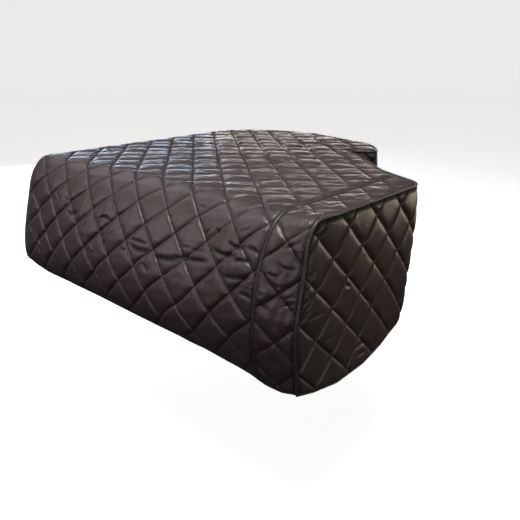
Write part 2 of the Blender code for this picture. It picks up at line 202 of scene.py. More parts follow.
Lamp = namedtuple("Lamp", "name place aim width height watts colour")
LAMPS = (
    Lamp("ceiling", (0.4, -1.0, 2.8), (0.2, -0.7, -0.1), 1.9, 1.9, 122, (1.0, 0.97, 0.96)),
    Lamp("ceiling_left", (-2.5, -0.6, 2.2), (0.2, -0.7, -0.1), 1.8, 1.8, 13, (0.82, 0.87, 1.0)),
    Lamp("left_wall", (-2.4, -3.4, 1.5), (0.2, -0.8, -0.2), 2.6, 2.0, 21, (1.0, 0.93, 0.98)),
    Lamp("front_wall", (0.0, -4.3, 0.3), (0.69, -0.8, -0.2), 1.3, 1.6, 12, (1.0, 0.90, 1.0)),
    Lamp("level_left", (-5.0, 0.8, 0.3), (0.0, 0.0, 0.0), 2.4, 1.0, 12, (0.70, 0.88, 1.0)),
    Lamp("cool_strip", (-5.3, 2.8, 0.15), (0.0, 0.0, 0.0), 3.0, 0.8, 84, (0.62, 0.79, 1.0)),
    Lamp("warm_strip", (-1.25, 1.85, 0.06), (0.0, 0.5, 0.0), 1.6, 0.15, 11.5, (1.0, 0.92, 0.85)),
    Lamp("near_side", (2.4, -3.3, 0.15), (0.3, 0.2, -0.1), 1.3, 2.0, 3, (1.0, 0.76, 0.90)),
    Lamp("back_low", (2.6, 3.9, -0.1), (0.6, -0.3, -0.2), 3.0, 1.6, 40, (1.0, 0.82, 0.60)),
    Lamp("treble_side", (3.6, -0.8, -0.2), (0.7, -0.4, -0.3), 2.6, 1.8, 13, (0.98, 1.0, 1.0)),
)
for lamp in LAMPS:
    light = bpy.data.lights.new(lamp.name, "AREA")
    light.shape = "RECTANGLE"
    light.size, light.size_y = lamp.width, lamp.height
    light.energy = lamp.watts
    light.color = lamp.colour
    holder = bpy.data.objects.new(lamp.name, light)
    holder.location = lamp.place
    to_aim = np.array(lamp.aim) - np.array(lamp.place)
    flat_reach = math.hypot(to_aim[0], to_aim[1])
    holder.rotation_euler = (math.atan2(flat_reach, -to_aim[2]), 0.0,
                             math.atan2(to_aim[1], to_aim[0]) - 0.5 * math.pi)
    holder.visible_camera = False
    bpy.context.scene.collection.objects.link(holder)

# ---------------------------------------------------------------- main panel
# Two layers of satin nylon with wadding between, stitched through in diamonds. It lies on the
# lid and turns down over the keyboard end, bowing out over the fallboard and in below it.
HALF_WIDTH = 0.755
LID_LINE = -0.680
PIPING_RADIUS = 0.005
SEAM_X = 0.622
SEAM_RADIUS = 0.005
EDGE_THICK = 0.003
LOFT = 0.0080
CELL_WIDTH = 0.1565
CELL_HEIGHT = 0.1465
SKIRT_RUN_OUT = 0.900
TUCK = 0.0012              # cloth edges run this far under the cords
BACK_GAP = 0.0008          # and stop this far short of where the outline turns back
PATH_TURN = math.radians(6.0)

Corner = namedtuple("Corner", "x y radius")
PLAN_CORNERS = (
    Corner(HALF_WIDTH, -0.160, 0.078),     # treble shoulder
    Corner(0.544, -0.040, 0.150),          # hollow of the bentside
    Corner(0.188, 0.278, 0.030),           # notch beside the tail
    Corner(0.298, 0.347, 0.026),           # tail's treble corner
    Corner(0.190, 0.512, 0.300),           # tail, treble half
    Corner(-0.345, 0.678, 0.400),          # end of the tail
    Corner(-0.760, 0.512, 0.250),          # tail's bass corner
)

# How far the cloth leans from upright, by the length of it that hangs from the lid's line
Lean = namedtuple("Lean", "arc bass_deg left_deg right_deg seam_deg treble_deg")
FRONT_LEAN = (
    Lean(0.000, 92, 73, 77, 98, 94),
    Lean(0.030, 80, 60, 63, 89, 94),
    Lean(0.060, 48, 50, 50, 77, 91),
    Lean(0.085, 42, 44, 42, 65, 76),
    Lean(0.105, 36, 40, 37, 53, 48),
    Lean(0.125, 26, 36, 34, 44, 34),
    Lean(0.150, 21, 33, 31, 36, 24),
    Lean(0.180, 15, 30, 29, 29, 9),
    Lean(0.235, 16, 24, 28, 21, 9),
    Lean(0.350, 14, 16, 20, 8, 13),
    Lean(0.450, 4, -1, 0, -1, -1),
    Lean(0.550, -28, -22, -22, -10, -8),
    Lean(0.640, -36, -43, -43, -20, -4),
)
DRAPE_X = (-HALF_WIDTH, -0.300, 0.300, SEAM_X, HALF_WIDTH)   # where each column holds

Hem = namedtuple("Hem", "x arc")
FRONT_HEM = (
    Hem(-0.755, 0.500),
    Hem(-0.690, 0.524),
    Hem(-0.600, 0.534),
    Hem(-0.400, 0.518),
    Hem(-0.200, 0.520),
    Hem(0.000, 0.526),
    Hem(0.300, 0.532),
    Hem(0.400, 0.548),
    Hem(0.500, 0.580),
    Hem(0.600, 0.602),
    Hem(0.650, 0.622),
    Hem(0.700, 0.628),
    Hem(0.755, 0.614),
)


def read_off(table, place, column):
    """A column of a table at a place in its first one, in straight stretches between rows."""
    return np.interp(place, [row[0] for row in table], [getattr(row, column) for row in table])


def unit(vectors):
    """Each vector at length one."""
    return vectors / np.linalg.norm(vectors, axis=-1, keepdims=True)


def run_along(path):
    """How far along a path each of its points lies."""
    return np.concatenate([[0.0], np.cumsum(np.linalg.norm(np.diff(path, axis=0), axis=1))])


def rounded_path(start, corners, end, turn_step):
    """A polyline whose corners are arcs that touch both sides, with a point every turn_step."""
    stops = np.array([start, *[(c.x, c.y) for c in corners], end])
    parts = [stops[:1]]
    for k, corner in enumerate(corners, start=1):
        back, ahead = unit(stops[k - 1] - stops[k]), unit(stops[k + 1] - stops[k])
        half_inside = 0.5 * math.acos(float(back @ ahead))
        turn = math.pi - 2.0 * half_inside
        reach = corner.radius / math.tan(half_inside)
        centre = stops[k] + unit(back + ahead) * corner.radius / math.sin(half_inside)
        first, last = stops[k] + back * reach - centre, stops[k] + ahead * reach - centre
        share = np.linspace(0.0, 1.0, max(4, round(turn / turn_step)) + 1)[:, None]
        blend = np.sin((1.0 - share) * turn) * first + np.sin(share * turn) * last
        parts.append(centre + blend / math.sin(turn))
    parts.append(stops[-1:])
    return np.vstack(parts)


def path_normals(path):
    """Right-hand normals of a path, mitred at its points."""
    steps = unit(np.diff(path, axis=0))
    sides = np.stack([steps[:, 1], -steps[:, 0]], axis=1)
    before, after = np.vstack([sides[:1], sides]), np.vstack([sides, sides[-1:]])
    return (before + after) / (1.0 + np.sum(before * after, axis=1))[:, None]


EDGE_PATH = rounded_path((HALF_WIDTH, -SKIRT_RUN_OUT), PLAN_CORNERS,
                         (-HALF_WIDTH, -SKIRT_RUN_OUT), PATH_TURN)
EDGE_NORMALS = path_normals(EDGE_PATH)
EDGE_RUN = run_along(EDGE_PATH) - SKIRT_RUN_OUT
RUN_END = EDGE_RUN[-1]
TOP_EDGE = EDGE_PATH - EDGE_NORMALS * (PIPING_RADIUS - TUCK)
APEX = int(np.argmax(TOP_EDGE[:, 1]))
DRAPE_STEPS = 640


def integrated(column):
    """Reach and depth of a drape: the running sums of the sine and cosine of its lean."""
    arc = np.linspace(0.0, FRONT_LEAN[-1].arc, DRAPE_STEPS + 1)
    lean = np.radians(read_off(FRONT_LEAN, arc, column))
    lean = 0.5 * (lean[1:] + lean[:-1])
    step = arc[1] - arc[0]
    reach = np.concatenate([[0.0], np.cumsum(np.sin(lean)) * step])
    depth = np.concatenate([[0.0], np.cumsum(np.cos(lean)) * step])
    return arc, reach, depth


DRAPES = [integrated(column) for column in Lean._fields[1:]]


def drape(x, q):
    """Point of the inner face at flat (x, q): q is y on the lid, and runs on down the front.

    The reach and depth of the two nearest hanging lines are eased into each other across x.
    """
    arc = np.maximum(LID_LINE - q, 0.0)
    reach, depth = np.zeros_like(arc), np.zeros_like(arc)
    for k, (arcs, reaches, depths) in enumerate(DRAPES):
        share = np.interp(x, DRAPE_X, np.eye(len(DRAPE_X))[k])
        share = share * share * (3.0 - 2.0 * share)
        reach += share * np.interp(arc, arcs, reaches)
        depth += share * np.interp(arc, arcs, depths)
    return np.stack([x, np.maximum(q, LID_LINE) - reach, -depth], axis=-1)


def front_hem(x):
    """Length of cloth from the lid line to the front hem."""
    return read_off(FRONT_HEM, x, "arc")


ROW_STRIDE = 4             # the lining has a row and a column for every fourth of the outside
EXTRA_ROWS = 1.15          # more rows on the lid than even spacing would give
ROW_CROWDING = 1.25        # power that draws them together towards the far end


def lid_rows(last_y, row_height):
    """Rows of the lid part, closer together towards the last one, where the outline closes in."""
    count = 2 * round(0.5 * (last_y - LID_LINE) / row_height * EXTRA_ROWS)
    share = np.linspace(0.0, 1.0, count + 1)[1:]
    return LID_LINE + (last_y - LID_LINE) * (1.0 - (1.0 - share) ** ROW_CROWDING)


def lid_and_front(left, right, last_y, columns, front_rows, row_height):
    """Flat (x, q) grid, hem first: front rows share out the drop, lid rows follow the outline."""
    share = np.linspace(0.0, 1.0, columns + 1)
    x_front = left + (right - left) * share
    drop = np.linspace(1.0, 0.0, front_rows + 1)[:, None] * front_hem(x_front)[None, :]
    y = lid_rows(last_y, row_height)
    y = y[:len(y) - (len(y) % ROW_STRIDE)]
    y[-1] = last_y
    treble_y, treble_x = TOP_EDGE[:APEX + 1, 1], TOP_EDGE[:APEX + 1, 0]
    bass_y, bass_x = TOP_EDGE[APEX:, 1][::-1], TOP_EDGE[APEX:, 0][::-1]
    low = np.maximum(np.interp(y, bass_y, bass_x), left)
    high = np.minimum(np.interp(y, treble_y, treble_x), right)
    x_lid = low[:, None] + (high - low)[:, None] * share[None, :]
    x = np.vstack([np.repeat(x_front[None, :], front_rows + 1, axis=0), x_lid])
    q = np.vstack([LID_LINE - drop, np.repeat(y[:, None], columns + 1, axis=1)])
    return x, q


def edge_distance(a, b, outline):
    """Distance in the flat from each grid point to the nearest stretch of a closed outline."""
    nearest = np.full(a.shape, 1e3)
    for p, r in zip(outline, np.roll(outline, -1, axis=0)):
        along = r - p
        if along @ along < 1e-12:
            continue
        share = np.clip(((a - p[0]) * along[0] + (b - p[1]) * along[1]) / (along @ along), 0, 1)
        gap = np.hypot(a - p[0] - share * along[0], b - p[1] - share * along[1])
        np.minimum(nearest, gap, out=nearest)
    return nearest


def waves(a, b, count, longest, shortest, seed):
    """Smooth unevenness: the mean of sine waves of shuffled direction, length and start."""
    draw = np.random.default_rng(seed)
    turn = draw.uniform(0.0, 2.0 * math.pi, (count, 2))
    length = np.geomspace(longest, shortest, count)
    total = sum(np.sin(2.0 * math.pi * (a * math.cos(t) + b * math.sin(t)) / size + start)
                for (t, start), size in zip(turn, length))
    return total / math.sqrt(count)


Quilt = namedtuple("Quilt", "width height x y")


def stitch_lines(a, b, quilt):
    """Each family's line count at flat (a, b): whole numbers lie on lines of stitching."""
    slope = quilt.width / quilt.height
    one = (a - quilt.x - slope * (b - quilt.y)) / quilt.width
    two = (a - quilt.x + slope * (b - quilt.y)) / quilt.width
    return one, two


def from_line(count, quilt):
    """Distance in metres to the nearest line of a family."""
    step = quilt.width / math.hypot(1.0, quilt.width / quilt.height)
    return np.abs(count - np.round(count)) * step


Gather = namedtuple("Gather", "length reach seed")


def gathers(along, inward, gather):
    """Little puckers square to a sewn line: a sine along it that dies out away from it.

    Smooth waves push its beat to and fro and make it swell and fail along the line.
    """
    length, reach, seed = gather
    beat = along + 0.45 * length * waves(along, 0.35 * inward, 4, 0.13, 0.03, seed)
    swell = np.clip(0.55 + 0.55 * waves(along, inward, 4, 0.23, 0.06, seed + 1), 0.0, 1.6)
    return np.sin(2.0 * math.pi * beat / length) * np.exp(-inward / reach) * swell


UPPER_SHOULDER = 0.0062    # the cloth rises over this distance below a line of stitching
LOWER_SHOULDER = 0.0070    # and turns back over this one above it, more in the slacker cells
CROWN = 0.14               # share of a cell's fullness that lies in its rounded middle
CROWN_BREADTH = 0.7        # power of that rounding: the lower, the broader
CELL_LEAN = 0.20           # most that one cell leans to a side
CELL_FULLNESS = 0.12       # most that one cell is fuller or slacker than the next
STITCH_WANDER = 0.0014     # how far the stitching strays from straight


def per_cell(one, two, strides, seed):
    """A number from -1 to 1 that is each cell's own: the sine of a far-striding count."""
    return np.sin(strides[0] * np.floor(one) + strides[1] * np.floor(two) + seed)


def quilted(a, b, quilt, slump, seed):
    """Height of quilted cloth: each distance to stitching taken through 1 - exp(-d / w).

    A crown, the product of two half sine waves, rounds each cell, and every cell is fuller or
    slacker than the next and leans its own way. Slump is how far the wadding and the slack lie
    towards a cell's lower edges, a straight rise across the cell.
    """
    wander = STITCH_WANDER * waves(a, b, 5, 0.30, 0.09, seed)
    one, two = stitch_lines(a + wander, b - wander, quilt)
    past_one, past_two = one - np.floor(one), two - np.floor(two)
    band = quilt.width / math.hypot(1.0, quilt.width / quilt.height)
    reach = LOWER_SHOULDER * (0.7 + 0.9 * per_cell(one, two, (11.3, 6.1), seed) ** 2)
    rise = np.ones(one.shape)
    for above in (past_one, 1.0 - past_two):
        rise *= 1.0 - np.exp(-above * band / UPPER_SHOULDER)
        rise *= 1.0 - np.exp(-((1.0 - above) * band / reach) ** 1.1)
    crown = np.abs(np.sin(math.pi * one) * np.sin(math.pi * two)) ** CROWN_BREADTH
    lean = per_cell(one, two, (12.9, 7.1), seed) * (past_one - 0.5)
    lean += per_cell(one, two, (5.3, 16.7), seed) * (past_two - 0.5)
    fuller = CELL_FULLNESS * per_cell(one, two, (9.7, 3.9), seed)
    shape = (1.0 - CROWN) + CROWN * crown + CELL_LEAN * lean + fuller
    shape += slump * ((past_one - 0.5) - 0.5 * (past_two - 0.5))
    return rise * shape, one, two


Crease = namedtuple("Crease", "x arc half_length tilt_deg bend depth width")
LOWER_LIP = 0.7            # how far a crease's lower lip stands proud, by its depth


def creased(x, q, creases):
    """Soft troughs that fade out to both their ends, or ridges where the depth is negative.

    The distance across a crease is taken through -exp(-square); bend is how far its two ends
    hang below its middle, and its lower lip stands a little proud.
    """
    height = np.zeros(x.shape)
    for c in creases:
        turn = math.radians(c.tilt_deg)
        dx, dq = x - c.x, q - (LID_LINE - c.arc)
        along = (dx * math.cos(turn) + dq * math.sin(turn)) / c.half_length
        across = (-dx * math.sin(turn) + dq * math.cos(turn) + c.bend * along ** 2) / c.width
        fade = np.exp(-along ** 4 - across ** 2)
        height -= c.depth * fade * (1.0 + LOWER_LIP * across)
    return height


def rim_of(a, b):
    """The closed outline of a flat grid, once round its four sides."""
    flat = np.stack([a, b], axis=-1)
    return np.vstack([flat[0], flat[1:, -1], flat[-1, -2::-1], flat[-2:0:-1, 0]])


def surface_normals(points):
    """Outward normals of a grid: the cross product of its two directions."""
    normal = np.cross(np.gradient(points, axis=1), np.gradient(points, axis=0))
    return unit(normal + 1e-15)


def closed_cloth(name, outside, lining, maps):
    """A closed mesh of a fine outer grid and a coarse lining, joined round all four sides.

    Each stretch of the lining's border meets its fine neighbours in a fan. The maps are pairs of
    numbers that go with the mesh as UV maps.
    """
    rows, columns = outside.shape[:2]
    fine = np.arange(rows * columns).reshape(rows, columns)
    coarse = np.arange(lining.shape[0] * lining.shape[1]).reshape(lining.shape[:2]) + fine.size

    def quads(grid):
        return np.stack([grid[:-1, :-1], grid[:-1, 1:], grid[1:, 1:], grid[1:, :-1]],
                        axis=2).reshape(-1, 4)

    faces = quads(fine).tolist() + quads(coarse)[:, ::-1].tolist()
    borders = ((fine[0], coarse[0], True), (fine[:, -1], coarse[:, -1], True),
               (fine[-1], coarse[-1], False), (fine[:, 0], coarse[:, 0], False))
    for rim, back, forward in borders:
        step = np.arange(len(rim) - 1)
        half_way = (step % ROW_STRIDE) >= ROW_STRIDE // 2
        apex = back[step // ROW_STRIDE + half_way]
        fans = np.stack([rim[1:], rim[:-1], apex], axis=1)
        middle = rim[ROW_STRIDE // 2::ROW_STRIDE]
        closers = np.stack([middle, back[:-1], back[1:]], axis=1)
        both = np.vstack([fans, closers])
        faces += (both if forward else both[:, ::-1]).tolist()
    points = np.vstack([outside.reshape(-1, 3), lining.reshape(-1, 3)])
    mesh = smooth_mesh(name, points, faces)
    corner_points = np.zeros(len(mesh.loops), np.int32)
    mesh.loops.foreach_get("vertex_index", corner_points)
    for map_name, flat in maps:
        flat = np.vstack([flat.reshape(-1, 2), flat[::ROW_STRIDE, ::ROW_STRIDE].reshape(-1, 2)])
        layer = mesh.uv_layers.new(name=map_name)
        layer.data.foreach_set("uv", flat[corner_points].astype(np.float32).ravel())
    mesh.update()
    return mesh


def shown(name, mesh, material):
    """Link a new object for the mesh into the scene."""
    mesh.materials.append(material)
    made = bpy.data.objects.new(name, mesh)
    bpy.context.scene.collection.objects.link(made)
    return made


FULL_FOLD = 0.0035         # a crease this deep gets the darkest painted shade inside it
EDGE_FADE = 0.008          # the padding comes up to its height over this distance from an edge


def quilted_sheet(name, base, flat_a, flat_b, outline, quilt, slack, slump, relief, folds,
                  shade_band_width, seed, material):
    """Quilted cloth over a base grid: thin at its edges, along its stitching and where taut.

    It carries its stitch counts, its (along, from edge) distances, how deep its creases are and
    how many shade band widths each point lies from the edge, for the painted shade.
    """
    inward = edge_distance(flat_a, flat_b, outline)
    loft, one, two = quilted(flat_a, flat_b, quilt, slump, seed)
    fade = 1.0 - np.exp(-inward / EDGE_FADE)
    height = EDGE_THICK + fade * (LOFT * slack * loft + relief + folds)
    normals = surface_normals(base)
    outside = base + normals * height[..., None]
    lining = base[::ROW_STRIDE, ::ROW_STRIDE]
    depth = np.clip(-folds / FULL_FOLD, 0.0, 1.0)
    maps = (("stitches", np.stack([one, two], axis=2)),
            ("edges", np.stack([flat_a + flat_b, inward], axis=2)),
            ("folds", np.stack([depth, inward / shade_band_width], axis=2)))
    mesh = closed_cloth(name, outside, lining, maps)
    return shown(name, mesh, material)


TOPSTITCH = 0.0085         # from a panel's edge to the row of stitches that holds it down
WORN_FADE = 55.0           # how fast the dull band along a line fades, by line count
THREAD_FADE = 150.0        # and the thread in it
DASH_BEAT = 165.0          # dashes of thread, as radians for each line counted along
TOOTH_BEAT = 520.0         # tucks along a seam, as radians for each metre
STREAK_HEIGHT = 0.0075     # the fine ripples of the loose cloth on the lid
FAR_LIFT = (3.0, -0.4)     # cells ride up more towards the tail: this much y, plus this

# A groove's steepness to either side of its line, its depth, and how much deeper on the lid
Groove = namedtuple("Groove", "above below deep lift")
RISING_GROOVE = Groove(42.0, 19.0, 0.0034, 0.0000)
FALLING_GROOVE = Groove(17.0, 40.0, 0.0022, 0.0042)


def noise(recipe, place, scale, detail=2.0, rough=0.5):
    """Smooth noise about one half."""
    return recipe.node("ShaderNodeTexNoise", {}, {"Vector": place, "Scale": scale,
                                                  "Detail": detail, "Roughness": rough})


# mixes the cloth's own tones and thread colour, and also the painted shade of grooves, creases and
# rims
def tone_or_shade(recipe, share, colour, other, strength):
    """A colour mixed by the share with another, which is first made darker or lighter."""
    other = (*(strength * channel for channel in other), 1.0)
    return recipe.node("ShaderNodeMix", {"data_type": "RGBA"}, {0: share, 6: colour, 7: other},
                       out=2)


def add_stitching(recipe, place, dark, light, colour, rough, height):
    """Grooves, thread and ripples, from the counts of the two families of stitch lines.

    A groove is exp(-steepness * distance), steeper on one side of its line than on the other, so
    that each cell hangs over its lower lines, and its colour is painted darker towards the line:
    painted shade in the groove. The thread in it is a narrower groove upside down, in dashes: the
    sine of the way along the line. The lid's ripples are noise drawn out across the cells,
    strongest where the cloth is loose, to the bass side and the tail.
    """
    counts = recipe.node("ShaderNodeUVMap", {"uv_map": "stitches"}, {})
    one, two = recipe.part(counts, "X"), recipe.part(counts, "Y")
    across_piano, to_tail = recipe.part(place, "X"), recipe.part(place, "Y")
    lid = (recipe.part(place, "Z") * 30.0 + 1.0).clipped(0.0, 1.0)
    loose = (across_piano * -0.7 + 0.8 + to_tail * 1.1).clipped(0.08, 1.15)
    lid_lift = lid * ((to_tail * FAR_LIFT[0] + FAR_LIFT[1]).clipped(0.0, 1.0) + 1.0)
    for across, along, groove in ((one, two, RISING_GROOVE), (two, one, FALLING_GROOVE)):
        side = (across + 0.5).math("FRACT") - 0.5
        trough = side.fading(groove.above).math("MINIMUM", side.fading(-groove.below))
        gap = abs(side)
        thread = gap.fading(THREAD_FADE) * ((along * DASH_BEAT).math("SINE") + 0.4).clipped(0, 1)
        height = height - trough * (lid_lift * groove.lift + groove.deep) + thread * 0.0003
        # painted shade: the colour darkens in the groove, most at its line
        colour = tone_or_shade(recipe, trough * trough * 0.9, colour, dark, 0.2)
        colour = tone_or_shade(recipe, thread * 0.4, colour, light, 1.5)
        rough = rough + gap.fading(WORN_FADE) * 0.25
    drawn_out = recipe.node("ShaderNodeCombineXYZ", {}, {
        0: one * 6.5, 1: two * 0.9 + two.math("FLOOR") * 3.7})
    height = height + noise(recipe, drawn_out, 1.0, 2.0, 0.6) * (lid * loose * STREAK_HEIGHT)
    return colour, rough, height


def add_seams(recipe, soft, sheen, dark, colour, rough, height):
    """Dark creases, the dark rim that turns under at a seam, and the row of stitches beside it.

    The rim is exp(-square) of the distance from the edge, which a sine along the edge makes
    toothed; its darkness is painted shade, of the gap beside a cord, under the piping and along
    the hem, and the creases are painted darker as well by how deep they are. The row is a narrow
    groove where that distance is TOPSTITCH.
    """
    edges = recipe.node("ShaderNodeUVMap", {"uv_map": "edges"}, {})
    along, inward = recipe.part(edges, "X"), recipe.part(edges, "Y")
    tooth = (along * TOOTH_BEAT + soft * 16.0).math("SINE")
    folds = recipe.node("ShaderNodeUVMap", {"uv_map": "folds"}, {})
    fold = recipe.part(folds, "X")
    rim_widths = recipe.part(folds, "Y") * (tooth * 0.22 + 1.0)
    rim = ((rim_widths * rim_widths).fading(1.0) * 1.4).math("MINIMUM", 1.0)
    row = abs(inward - TOPSTITCH).fading(700.0)
    pucker = tooth * inward.fading(95.0)
    height = height - row * 0.0012 + pucker * (sheen * 0.0012)
    # painted shade: darker inside creases by their depth and along the toothed rim, then the
    # darker row of stitches
    colour = tone_or_shade(recipe, fold * fold * 0.85, colour, dark, 0.15)
    colour = tone_or_shade(recipe, rim * 0.95, colour, dark, 0.1)
    colour = tone_or_shade(recipe, row * 0.6, colour, dark, 0.3)
    return colour, rough + fold * fold * 0.3 + rim * 0.5, height


def satin_nylon(name, dark, light, stitched):
    """Satin nylon: a fine plain weave, uneven dye and shine, and soft little dents.

    The weave is noise drawn out long one way and long the other. Quilted cloth has its stitching
    and its seams as well, with painted shade in their grooves, creases and rims.
    """
    recipe = Recipe(bpy.data.materials.new(name), "Principled BSDF")
    place = recipe.node("ShaderNodeTexCoord", {}, {}, out="Object")
    weave = [noise(recipe, recipe.node("ShaderNodeMapping", {}, {0: place, 3: drawn}), 1500.0, 1.0)
             for drawn in ((1.0, 0.12, 1.0), (0.12, 1.0, 0.12))]
    colour = tone_or_shade(recipe, noise(recipe, place, 5.0, 3.0), (*dark, 1.0), light, 1.0)
    sheen = noise(recipe, place, 9.0, 3.0)
    soft = noise(recipe, place, 42.0, 3.0, 0.55)
    rough = sheen * 0.12 + 0.26
    height = soft * 0.0008 + (weave[0] + weave[1]) * 0.00006
    if stitched:
        colour, rough, height = add_stitching(recipe, place, dark, light, colour, rough, height)
        colour, rough, height = add_seams(recipe, soft, sheen, dark, colour, rough, height)
    bump = recipe.node("ShaderNodeBump", {}, {"Strength": 1.0, "Distance": 1.0,
                                              "Height": height})
    recipe.fill(recipe.shader, {"Base Color": colour, "Roughness": rough, "Normal": bump,
                                "IOR": 1.50, "Specular IOR Level": 0.5,
                                "Sheen Weight": 0.08, "Sheen Roughness": 0.4})
    return recipe.owner


QUILT_DARK = (0.050, 0.037, 0.035)
QUILT_LIGHT = (0.070, 0.053, 0.051)
quilted_nylon = satin_nylon("quilted_nylon", QUILT_DARK, QUILT_LIGHT, stitched=True)

TOP_QUILT = Quilt(CELL_WIDTH, CELL_HEIGHT, -0.021, LID_LINE - 0.121)
MAIN_COLUMNS = 288
MAIN_FRONT_ROWS = 152
MAIN_ROW_HEIGHT = 0.0092

MAIN_CREASES = (
    Crease(0.505, 0.205, 0.036, -14, -0.006, 0.0060, 0.0065),
    Crease(0.465, 0.231, 0.052, -8, -0.006, 0.0065, 0.0070),
    Crease(0.555, 0.243, 0.032, 4, 0.000, 0.0060, 0.0060),
    Crease(0.605, 0.212, 0.044, -20, 0.006, 0.0060, 0.0065),
    Crease(0.335, 0.262, 0.065, 3, 0.000, 0.0065, 0.0080),
    Crease(0.265, 0.268, 0.022, 0, 0.000, 0.0040, 0.0060),
    Crease(0.540, 0.296, 0.046, 3, -0.003, 0.0050, 0.0080),
    Crease(0.600, 0.340, 0.030, -10, 0.003, 0.0060, 0.0060),
    Crease(0.345, 0.228, 0.032, 4, 0.000, 0.0030, 0.0050),
    Crease(0.285, 0.228, 0.022, 6, 0.000, 0.0026, 0.0050),
    Crease(0.362, 0.162, 0.013, 50, 0.000, 0.0045, 0.0050),
    Crease(0.402, 0.156, 0.015, -35, 0.000, 0.0045, 0.0050),
    Crease(0.290, 0.086, 0.014, -10, 0.004, 0.0040, 0.0050),
    Crease(0.530, 0.152, 0.024, 14, 0.000, 0.0040, 0.0055),
    Crease(0.050, 0.257, 0.045, 0, 0.002, 0.0036, 0.0060),
    Crease(0.065, 0.287, 0.048, 0, -0.008, 0.0050, 0.0090),
    Crease(-0.022, 0.300, 0.022, -6, 0.000, 0.0034, 0.0055),
    Crease(0.122, 0.334, 0.019, -30, 0.000, 0.0034, 0.0055),
    Crease(0.215, 0.285, 0.056, 8, -0.002, 0.0060, 0.0100),
    Crease(-0.165, 0.210, 0.036, 0, 0.011, 0.0055, 0.0065),
    Crease(-0.515, 0.183, 0.022, -28, 0.000, 0.0034, 0.0055),
    Crease(-0.440, 0.188, 0.020, -10, 0.000, 0.0036, 0.0055),
    Crease(-0.375, 0.236, 0.032, 12, -0.006, 0.0045, 0.0090),
    Crease(-0.215, 0.333, 0.026, -25, 0.000, -0.0024, 0.0065),
    Crease(-0.650, 0.385, 0.052, -38, 0.000, -0.0030, 0.0080),
    Crease(-0.600, 0.420, 0.056, -38, 0.000, -0.0036, 0.0090),
    Crease(-0.455, 0.415, 0.024, -30, 0.000, -0.0030, 0.0080),
    Crease(0.170, 0.120, 0.032, 45, 0.000, -0.0022, 0.0070),
)

Slack = namedtuple("Slack", "arc loft pucker slump")
SLACKS = (                 # how loose the cells and their stitching are, down from the lid
    Slack(-0.300, 1.00, 1.00, 0.15),
    Slack(-0.080, 0.90, 0.50, 0.12),
    Slack(0.000, 0.55, 0.20, 0.10),
    Slack(0.040, 0.35, 0.15, 0.20),
    Slack(0.095, 0.45, 0.15, 0.20),
    Slack(0.150, 0.75, 0.45, 0.30),
    Slack(0.300, 0.90, 0.55, 0.30),
    Slack(0.420, 0.85, 0.40, 0.30),
    Slack(0.500, 0.60, 0.20, 0.20),
)
CELL_SIDE = 0.5 * math.hypot(CELL_WIDTH, CELL_HEIGHT)


TAUT_START = 0.05          # the lid's cloth is taut on the treble side, from this x on
TAUT_SPREAD = 0.35         # and fully this much further across,
TAUT_FRONT = 0.120         # from this far back from the lid's line
TAUT_BACK = 0.30           # up to the middle, and no more this far behind it
GATHER_BASE = 0.0006       # height of the puckers along a seam on the lid,
GATHER_MORE = 0.0024       # and how much higher they get down the front,
GATHER_DROP = 0.120        # over this length of cloth


def slackness(q, column):
    """One column of the table of slacks at flat height q."""
    return read_off(SLACKS, LID_LINE - q, column)


def eased(x, q, least):
    """Share of its looseness that cloth keeps: all of it, but least where the lid is taut.

    It falls in straight lines across to the treble side and back from the lid's line, and comes
    back towards the tail.
    """
    taut = np.clip((x - TAUT_START) / TAUT_SPREAD, 0.0, 1.0)
    taut = taut * np.clip((q - LID_LINE) / TAUT_FRONT, 0.0, 1.0)
    return 1.0 - (1.0 - least) * taut * np.clip((TAUT_BACK - q) / TAUT_BACK, 0.0, 1.0)


def seam_gather(q):
    """Height of the puckers along a seam: low on the lid, and rising to full down the front."""
    return GATHER_BASE + GATHER_MORE * np.clip((LID_LINE - q) / GATHER_DROP, 0.0, 1.0)


def stitch_puckers(a, b, quilt, seed):
    """Ripples square to both families of stitching, of height one and fading over 30 mm."""
    one, two = stitch_lines(a, b, quilt)
    steep = gathers(one * CELL_SIDE, from_line(two, quilt), Gather(0.031, 0.030, seed))
    shallow = gathers(two * CELL_SIDE, from_line(one, quilt), Gather(0.029, 0.022, seed + 3))
    return steep + 0.6 * shallow


SHADE_BAND_WIDTH = 0.0060         # of the painted shade along a panel's seams, where it turns under
TAUT_LOFT = 0.45           # share of their height that taut cells keep
TAUT_PUCKER = 0.3          # and that their puckers keep
MAIN_PUCKER = 0.0013
MAIN_UNEVEN = 0.0007
main_x, main_q = lid_and_front(-HALF_WIDTH + PIPING_RADIUS - TUCK, SEAM_X - SEAM_RADIUS + TUCK,
                               TOP_EDGE[APEX, 1] - BACK_GAP, MAIN_COLUMNS, MAIN_FRONT_ROWS,
                               MAIN_ROW_HEIGHT)
main_outline = rim_of(main_x, main_q)
main_folds = creased(main_x, main_q, MAIN_CREASES)
main_puckers = stitch_puckers(main_x, main_q, TOP_QUILT, 23)
main_puckers *= slackness(main_q, "pucker") * eased(main_x, main_q, TAUT_PUCKER)
main_relief = seam_gather(main_q) * gathers(main_q, SEAM_X - main_x, Gather(0.020, 0.018, 31))
main_relief += MAIN_PUCKER * main_puckers
main_relief += MAIN_UNEVEN * waves(main_x, main_q, 8, 0.16, 0.03, 7)
main_slack = slackness(main_q, "loft") * eased(main_x, main_q, TAUT_LOFT)
main_panel = quilted_sheet("main_panel", drape(main_x, main_q), main_x, main_q, main_outline,
                           TOP_QUILT, main_slack, slackness(main_q, "slump"), main_relief,
                           main_folds, SHADE_BAND_WIDTH, 11, quilted_nylon)
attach(main_panel, "root")
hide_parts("main_panel")

